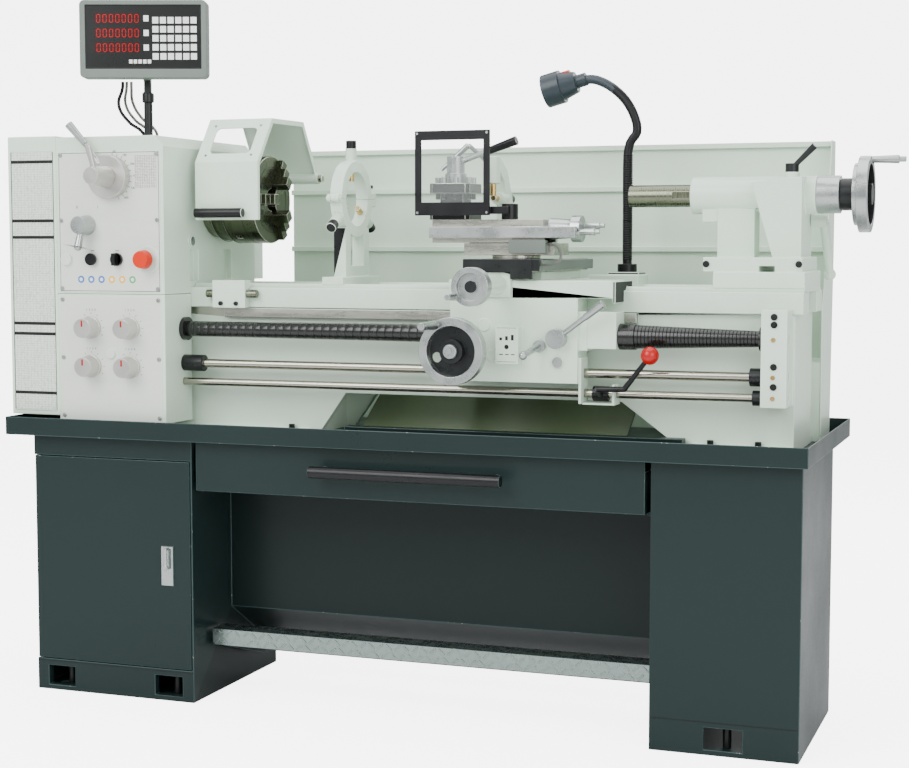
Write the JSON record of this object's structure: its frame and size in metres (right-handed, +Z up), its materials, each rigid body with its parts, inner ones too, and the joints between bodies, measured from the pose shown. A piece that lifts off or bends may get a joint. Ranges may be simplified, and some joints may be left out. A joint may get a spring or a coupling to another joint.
{
  "type": "metal lathe",
  "caption": "Centre lathe on a grey two-cabinet stand with chip tray, splash guard, three-jaw chuck, steady rests, lamp and digital readout.",
  "frame": {"origin": "centre of the whole outline on the floor plane", "axes": "+X from the headstock to the tailstock, +Y from the operator's side to the splash guard, +Z up"},
  "size_m": [2.027, 0.797, 1.622],
  "materials": {
    "stand_paint": "satin",
    "grey_paint": "satin",
    "motor_paint": "satin",
    "machine_paint": "gloss",
    "bed_paint": "satin",
    "guard_paint": "satin",
    "white_paint": "gloss",
    "lamp_paint": "satin",
    "dark_steel": "satin",
    "black_steel": "satin",
    "black_spring": "gloss",
    "machined_steel": "satin",
    "hard_steel": "satin",
    "bright_steel": "polished",
    "rod_steel": "satin",
    "dial_aluminium": "satin",
    "black_rubber": "matte",
    "black_plastic": "matte",
    "green_plastic": "gloss",
    "red_plastic": "gloss",
    "display_case": "matte"
  },
  "bodies": {
    "machine": {"left_cabinet": "stand_paint", "right_cabinet": "stand_paint", "chip_tray": "stand_paint", "bed": "bed_paint", "headstock": "machine_paint", "feed_gearbox": "machine_paint", "splash_guard": "guard_paint", "drive_motor": "motor_paint", "dro_post": "dark_steel", "fasteners": "dark_steel"},
    "spindle": {"spindle": "machined_steel", "chuck": "machined_steel"},
    "jaw_1": {"jaw_1": "hard_steel"},
    "jaw_2": {"jaw_2": "hard_steel"},
    "jaw_3": {"jaw_3": "hard_steel"},
    "chuck_guard": {"chuck_guard": "white_paint"},
    "carriage": {"saddle": "machine_paint", "apron": "machine_paint", "screw_covers": "black_spring"},
    "carriage_wheel": {"carriage_wheel": "bright_steel"},
    "half_nut_lever": {"half_nut_lever": "bright_steel"},
    "feed_lever": {"feed_lever": "bright_steel"},
    "start_lever": {"start_lever": "black_steel"},
    "control_rod": {"control_rod": "rod_steel"},
    "lead_screw": {"lead_screw": "rod_steel"},
    "feed_rod": {"feed_rod": "rod_steel"},
    "cross_slide": {"cross_slide": "machined_steel"},
    "cross_wheel": {"cross_wheel": "bright_steel"},
    "compound": {"compound_base": "machined_steel", "scale_cable": "black_rubber"},
    "top_slide": {"top_slide": "machined_steel"},
    "compound_wheel": {"compound_wheel": "bright_steel"},
    "tool_post": {"tool_post": "black_steel"},
    "tool_post_lever": {"tool_post_lever": "bright_steel"},
    "tool_guard": {"tool_guard": "black_plastic"},
    "tailstock": {"tailstock": "machine_paint"},
    "quill": {"quill": "rod_steel"},
    "tail_wheel": {"tail_wheel": "bright_steel"},
    "quill_lock": {"quill_lock": "black_steel"},
    "tail_clamp": {"tail_clamp": "grey_paint"},
    "steady": {"steady_rest": "machine_paint"},
    "steady_top": {"steady_top": "machine_paint"},
    "speed_dial": {"speed_dial": "dial_aluminium"},
    "range_knob": {"range_knob": "bright_steel"},
    "direction_lever": {"direction_lever": "black_plastic"},
    "feed_knob_1": {"feed_knob_1": "dial_aluminium"},
    "feed_knob_2": {"feed_knob_2": "dial_aluminium"},
    "feed_knob_3": {"feed_knob_3": "dial_aluminium"},
    "feed_knob_4": {"feed_knob_4": "dial_aluminium"},
    "start_button": {"start_button": "green_plastic"},
    "selector_switch": {"selector_switch": "black_plastic"},
    "stop_button": {"stop_button": "red_plastic"},
    "display": {"dro_display": "display_case", "dro_cables": "black_rubber"},
    "lamp": {"work_lamp": "lamp_paint"},
    "drawer": {"chip_drawer": "stand_paint"},
    "door": {"cabinet_door": "stand_paint"},
    "pedal": {"brake_pedal": "grey_paint"},
    "end_cover": {"end_cover": "machine_paint"},
    "bed_stop": {"bed_stop": "machine_paint"}
  },
  "joints": [
    {"name": "spindle_turn", "type": "hinge", "parent": "machine", "child": "spindle", "pos_m": [-0.514, 0.052, 1.154], "axis": [1, 0, 0], "continuous": true},
    {"name": "jaw_1_travel", "type": "slide", "parent": "spindle", "child": "jaw_1", "axis": [0, -1, 0], "range_m": [-0.026, 0.02]},
    {"name": "jaw_2_travel", "type": "slide", "parent": "spindle", "child": "jaw_2", "axis": [0, 0.5, 0.866], "range_m": [-0.026, 0.02]},
    {"name": "jaw_3_travel", "type": "slide", "parent": "spindle", "child": "jaw_3", "axis": [0, 0.5, -0.866], "range_m": [-0.026, 0.02]},
    {"name": "chuck_guard_swing", "type": "hinge", "parent": "machine", "child": "chuck_guard", "pos_m": [-0.464, 0.222, 1.209], "axis": [1, 0, 0], "range_deg": [-75, 0]},
    {"name": "carriage_slide", "type": "slide", "parent": "machine", "child": "carriage", "axis": [1, 0, 0], "range_m": [-0.21, 0.17], "deforming": ["screw_covers"]},
    {"name": "carriage_wheel_turn", "type": "hinge", "parent": "carriage", "child": "carriage_wheel", "pos_m": [0.116, -0.234, 0.824], "axis": [0, 1, 0], "range_deg": [-5000, 5000]},
    {"name": "cross_slide_travel", "type": "slide", "parent": "carriage", "child": "cross_slide", "axis": [0, 1, 0], "range_m": [-0.12, 0.02]},
    {"name": "cross_wheel_turn", "type": "hinge", "parent": "carriage", "child": "cross_wheel", "pos_m": [0.192, -0.328, 0.963], "axis": [0, 1, 0], "range_deg": [-9000, 9000]},
    {"name": "compound_swivel", "type": "hinge", "parent": "cross_slide", "child": "compound", "pos_m": [0.194, -0.038, 1.022], "axis": [0, 0, 1], "range_deg": [0, 45], "deforming": ["scale_cable"]},
    {"name": "compound_travel", "type": "slide", "parent": "compound", "child": "top_slide", "axis": [1, 0, 0], "range_m": [-0.07, 0.02]},
    {"name": "compound_wheel_turn", "type": "hinge", "parent": "top_slide", "child": "compound_wheel", "pos_m": [0.332, -0.038, 1.083], "axis": [1, 0, 0], "range_deg": [-6000, 6000]},
    {"name": "tool_post_turn", "type": "hinge", "parent": "top_slide", "child": "tool_post", "pos_m": [0.052, -0.038, 1.143], "axis": [0, 0, 1], "continuous": true},
    {"name": "tool_post_lever_turn", "type": "hinge", "parent": "top_slide", "child": "tool_post_lever", "pos_m": [0.052, -0.038, 1.213], "axis": [0, 0, 1], "range_deg": [-20, 20]},
    {"name": "tool_guard_swing", "type": "hinge", "parent": "top_slide", "child": "tool_guard", "pos_m": [0.19, -0.073, 1.12], "axis": [0, 0, 1], "range_deg": [0, 110]},
    {"name": "feed_lever_turn", "type": "hinge", "parent": "carriage", "child": "feed_lever", "pos_m": [0.284, -0.16, 0.834], "axis": [0, 1, 0], "range_deg": [-25, 25]},
    {"name": "half_nut_turn", "type": "hinge", "parent": "carriage", "child": "half_nut_lever", "pos_m": [0.324, -0.163, 0.851], "axis": [0, 1, 0], "range_deg": [0, 35]},
    {"name": "start_lever_turn", "type": "hinge", "parent": "carriage", "child": "start_lever", "pos_m": [0.409, -0.113, 0.733], "axis": [1, 0, 0], "range_deg": [-14, 14]},
    {"name": "control_rod_turn", "type": "hinge", "parent": "machine", "child": "control_rod", "pos_m": [0.086, -0.113, 0.733], "axis": [1, 0, 0], "range_deg": [-20, 20]},
    {"name": "lead_screw_turn", "type": "hinge", "parent": "machine", "child": "lead_screw", "pos_m": [0.086, -0.113, 0.855], "axis": [1, 0, 0], "continuous": true},
    {"name": "feed_rod_turn", "type": "hinge", "parent": "machine", "child": "feed_rod", "pos_m": [0.086, -0.113, 0.776], "axis": [1, 0, 0], "continuous": true},
    {"name": "tailstock_slide", "type": "slide", "parent": "machine", "child": "tailstock", "axis": [1, 0, 0], "range_m": [-0.15, 0]},
    {"name": "quill_travel", "type": "slide", "parent": "tailstock", "child": "quill", "axis": [1, 0, 0], "range_m": [-0.12, 0]},
    {"name": "tail_wheel_turn", "type": "hinge", "parent": "tailstock", "child": "tail_wheel", "pos_m": [0.926, 0.052, 1.154], "axis": [1, 0, 0], "range_deg": [-9000, 9000]},
    {"name": "quill_lock_turn", "type": "hinge", "parent": "tailstock", "child": "quill_lock", "pos_m": [0.787, 0, 1.204], "axis": [0, 0, 1], "range_deg": [-40, 40]},
    {"name": "tail_clamp_turn", "type": "hinge", "parent": "tailstock", "child": "tail_clamp", "pos_m": [0.825, 0.112, 1.1], "axis": [1, 0, 0], "range_deg": [0, 30]},
    {"name": "steady_slide", "type": "slide", "parent": "machine", "child": "steady", "axis": [1, 0, 0], "range_m": [-0.08, 0.1]},
    {"name": "steady_top_open", "type": "hinge", "parent": "steady", "child": "steady_top", "pos_m": [-0.239, -0.048, 1.154], "axis": [1, 0, 0], "range_deg": [0, 120]},
    {"name": "speed_dial_turn", "type": "hinge", "parent": "machine", "child": "speed_dial", "pos_m": [-0.723, -0.216, 1.202], "axis": [0, 1, 0], "range_deg": [-60, 60]},
    {"name": "range_knob_turn", "type": "hinge", "parent": "machine", "child": "range_knob", "pos_m": [-0.723, -0.248, 1.202], "axis": [0, 1, 0], "range_deg": [-45, 45]},
    {"name": "direction_turn", "type": "hinge", "parent": "machine", "child": "direction_lever", "pos_m": [-0.788, -0.228, 1.093], "axis": [0, 1, 0], "range_deg": [-45, 45]},
    {"name": "feed_knob_1_turn", "type": "hinge", "parent": "machine", "child": "feed_knob_1", "pos_m": [-0.782, -0.228, 0.858], "axis": [0, 1, 0], "continuous": true},
    {"name": "feed_knob_2_turn", "type": "hinge", "parent": "machine", "child": "feed_knob_2", "pos_m": [-0.68, -0.228, 0.858], "axis": [0, 1, 0], "continuous": true},
    {"name": "feed_knob_3_turn", "type": "hinge", "parent": "machine", "child": "feed_knob_3", "pos_m": [-0.782, -0.228, 0.769], "axis": [0, 1, 0], "continuous": true},
    {"name": "feed_knob_4_turn", "type": "hinge", "parent": "machine", "child": "feed_knob_4", "pos_m": [-0.68, -0.228, 0.769], "axis": [0, 1, 0], "continuous": true},
    {"name": "start_button_press", "type": "slide", "parent": "machine", "child": "start_button", "axis": [0, 1, 0], "range_m": [0, 0.004], "stiffness_N_per_m": 300},
    {"name": "selector_turn", "type": "hinge", "parent": "machine", "child": "selector_switch", "pos_m": [-0.71, -0.213, 1.015], "axis": [0, 1, 0], "range_deg": [-45, 45]},
    {"name": "stop_button_press", "type": "slide", "parent": "machine", "child": "stop_button", "axis": [0, 1, 0], "range_m": [0, 0.006], "stiffness_N_per_m": 500},
    {"name": "display_pan", "type": "hinge", "parent": "machine", "child": "display", "pos_m": [-0.749, 0.012, 1.395], "axis": [0, 0, 1], "range_deg": [-45, 45], "deforming": ["dro_cables"]},
    {"name": "lamp_swivel", "type": "hinge", "parent": "carriage", "child": "lamp", "pos_m": [0.39, 0.172, 0.995], "axis": [0, 0, 1], "range_deg": [-60, 60]},
    {"name": "drawer_slide", "type": "slide", "parent": "machine", "child": "drawer", "axis": [0, -1, 0], "range_m": [0, 0.35]},
    {"name": "door_swing", "type": "hinge", "parent": "machine", "child": "door", "pos_m": [-0.933, -0.201, 0.3], "axis": [0, 0, 1], "range_deg": [-110, 0]},
    {"name": "pedal_press", "type": "hinge", "parent": "machine", "child": "pedal", "pos_m": [0.011, 0.108, 0.066], "axis": [1, 0, 0], "range_deg": [0, 12], "stiffness_Nm_per_rad": 60},
    {"name": "end_cover_open", "type": "hinge", "parent": "machine", "child": "end_cover", "pos_m": [-0.87015, 0.26, 0.975], "axis": [0, 0, 1], "range_deg": [-90, 0]},
    {"name": "bed_stop_slide", "type": "slide", "parent": "machine", "child": "bed_stop", "axis": [1, 0, 0], "range_m": [-0.045, 0.15]}
  ],
  "couplings": [
    {"joint": "jaw_2_travel", "follows": "jaw_1_travel", "ratio": 1},
    {"joint": "jaw_3_travel", "follows": "jaw_1_travel", "ratio": 1},
    {"joint": "carriage_wheel_turn", "follows": "carriage_slide", "rad_per_m": 330},
    {"joint": "cross_wheel_turn", "follows": "cross_slide_travel", "rad_per_m": 1256.6},
    {"joint": "compound_wheel_turn", "follows": "compound_travel", "rad_per_m": -1256.6},
    {"joint": "control_rod_turn", "follows": "start_lever_turn", "ratio": 1},
    {"joint": "lead_screw_turn", "follows": "spindle_turn", "ratio": -1},
    {"joint": "feed_rod_turn", "follows": "spindle_turn", "ratio": -0.5},
    {"joint": "tail_wheel_turn", "follows": "quill_travel", "rad_per_m": -1256.6}
  ]
}
